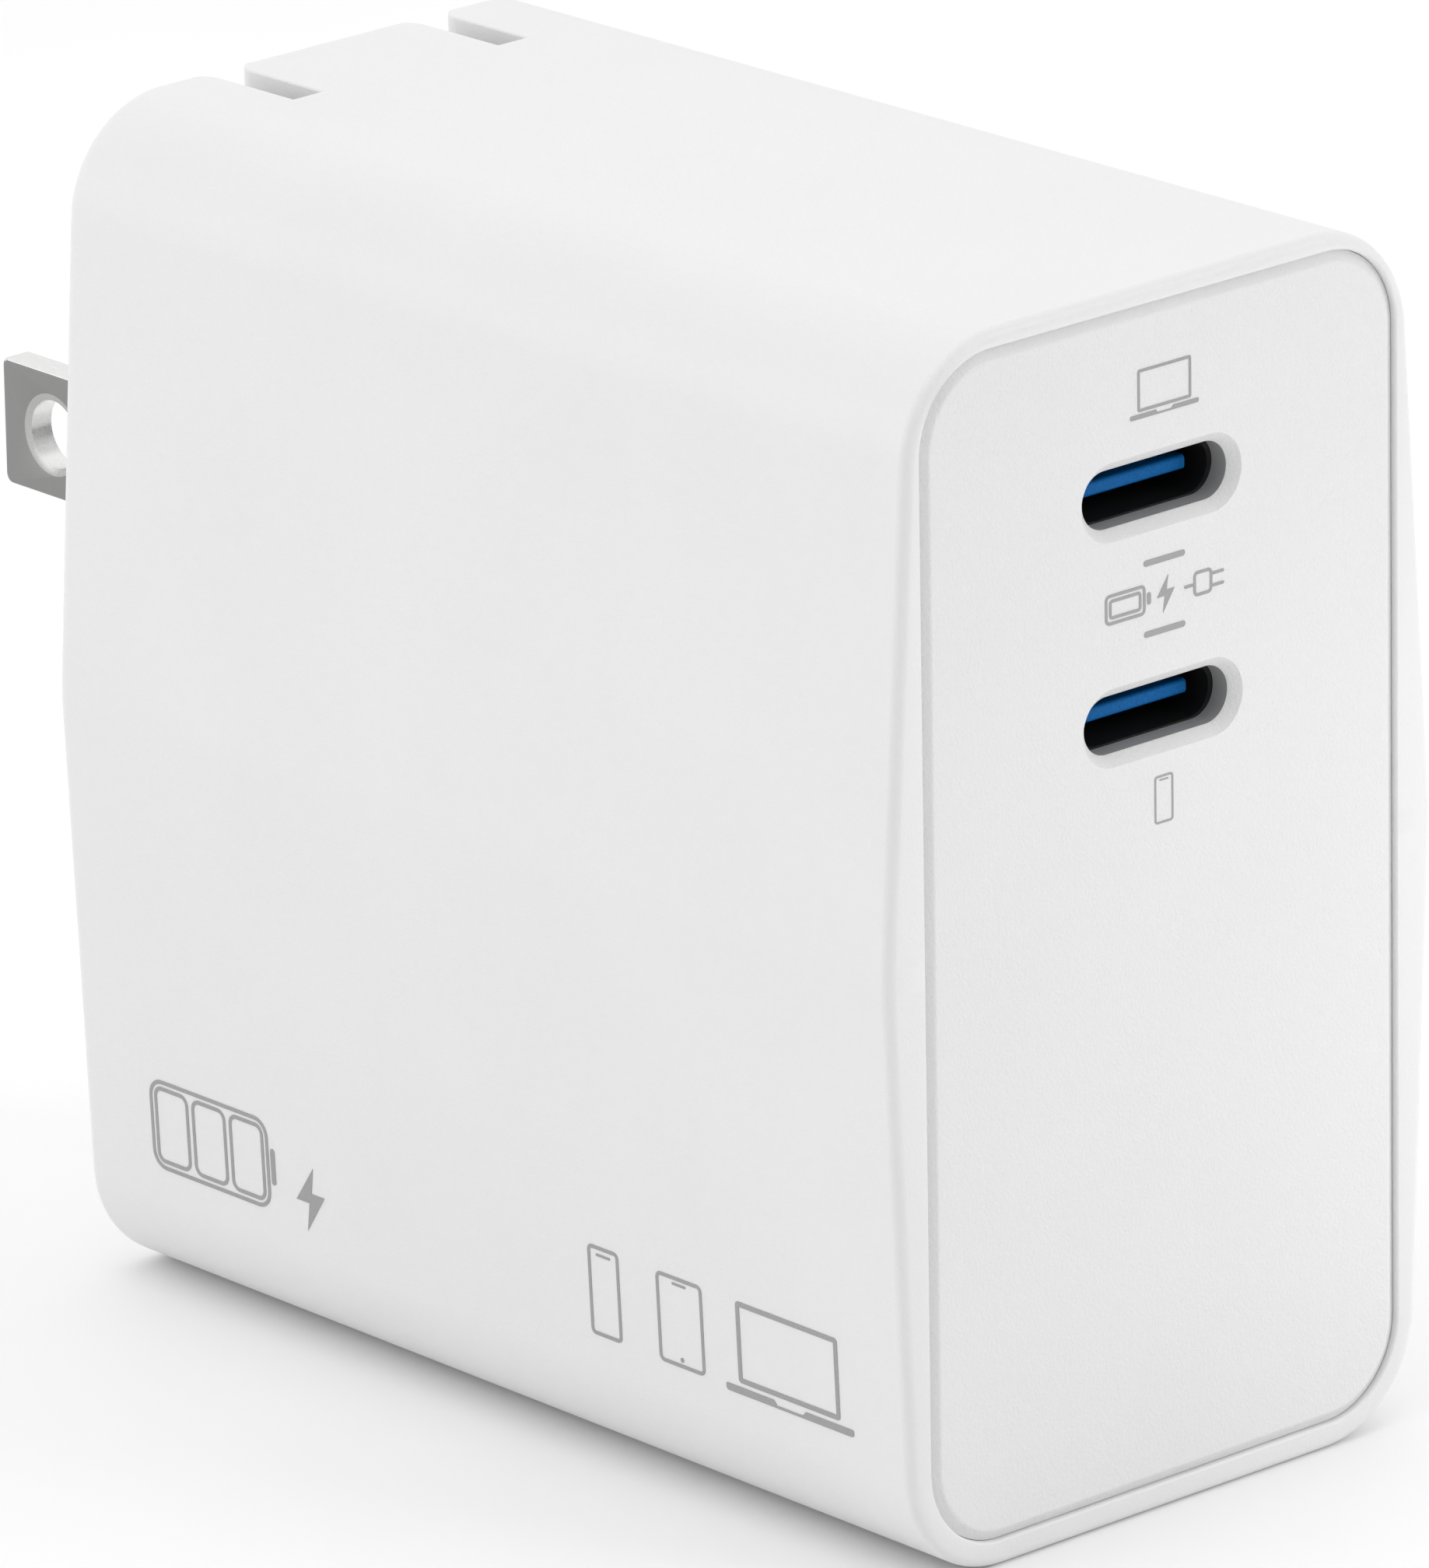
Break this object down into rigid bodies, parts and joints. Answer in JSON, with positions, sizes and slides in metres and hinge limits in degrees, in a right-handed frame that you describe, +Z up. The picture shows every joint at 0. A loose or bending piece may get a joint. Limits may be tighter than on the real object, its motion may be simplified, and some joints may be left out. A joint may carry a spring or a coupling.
{
  "type": "laptop power adapter",
  "caption": "Compact plug-in wall charger for laptops: a tall rounded white body with USB-C ports on its front and flat blades that fold up into slots in its rear.",
  "frame": {"origin": "middle of the flat underside", "axes": "+X across the narrow width, +Y from the ports at the front to the blades at the rear, +Z up"},
  "size_m": [0.0342, 0.0736, 0.0588],
  "materials": {
    "shell_plastic": "fine satin moulded polycarbonate",
    "panel_plastic": "fine spark-textured moulded polycarbonate",
    "port_metal": "blackened drawn steel",
    "port_black": "black moulded insulator",
    "tongue_blue": "blue moulded tongue",
    "contact_gold": "gold-plated copper alloy",
    "blade_nickel": "satin nickel plate over brass",
    "rotor_plastic": "white moulded plastic",
    "bracket_plastic": "black glass-filled plastic",
    "spring_steel": "bright spring steel",
    "contact_bronze": "tinned phosphor bronze",
    "board_green": "solder-masked glass-epoxy board",
    "ferrite": "sintered ferrite",
    "copper_wire": "enamelled copper wire",
    "yellow_plastic": "polyester film and moulded box",
    "can_aluminium": "drawn aluminium",
    "black_sleeve": "shrink sleeve",
    "seal_rubber": "moulded rubber",
    "blue_coating": "dipped epoxy coating",
    "fuse_ceramic": "ceramic tube",
    "chip_black": "moulded epoxy",
    "insulating_film": "polyester film"
  },
  "bodies": {
    "charger_body": {"blade_bracket": "bracket_plastic", "bracket_screws": "spring_steel", "bridge_rectifier": "chip_black", "choke_core": "ferrite", "choke_winding_lower": "copper_wire", "choke_winding_upper": "copper_wire", "control_chips": "chip_black", "detent_spring": "spring_steel", "front_panel": "panel_plastic", "fuse": "fuse_ceramic", "header_pins": "contact_gold", "heat_spreader": "can_aluminium", "housing": "shell_plastic", "insulating_sheet": "insulating_film", "left_bulk_capacitor": "can_aluminium", "left_capacitor_seal": "seal_rubber", "left_capacitor_sleeve": "black_sleeve", "left_contact_spring": "contact_bronze", "lower_port_base": "port_black", "lower_port_contacts": "contact_gold", "lower_port_shell": "port_metal", "lower_port_tongue": "tongue_blue", "main_board": "board_green", "output_capacitors": "can_aluminium", "output_inductors": "ferrite", "power_switches": "chip_black", "right_bulk_capacitor": "can_aluminium", "right_capacitor_seal": "seal_rubber", "right_capacitor_sleeve": "black_sleeve", "right_contact_spring": "contact_bronze", "thermal_pad": "seal_rubber", "transformer_bobbin": "bracket_plastic", "transformer_core_lower": "ferrite", "transformer_core_upper": "ferrite", "transformer_tape": "yellow_plastic", "transformer_winding": "copper_wire", "upper_port_base": "port_black", "upper_port_contacts": "contact_gold", "upper_port_shell": "port_metal", "upper_port_tongue": "tongue_blue", "usb_board": "board_green", "varistor": "blue_coating", "x_capacitor": "yellow_plastic", "y_capacitor": "blue_coating"},
    "folding_blades": {"left_blade": "blade_nickel", "right_blade": "blade_nickel", "blade_rotor": "rotor_plastic"}
  },
  "joints": [
    {"name": "blade_fold", "type": "hinge", "parent": "charger_body", "child": "folding_blades", "pos_m": [0, 0.02513, 0.0377], "axis": [1, 0, 0], "range_deg": [0, 90]}
  ]
}
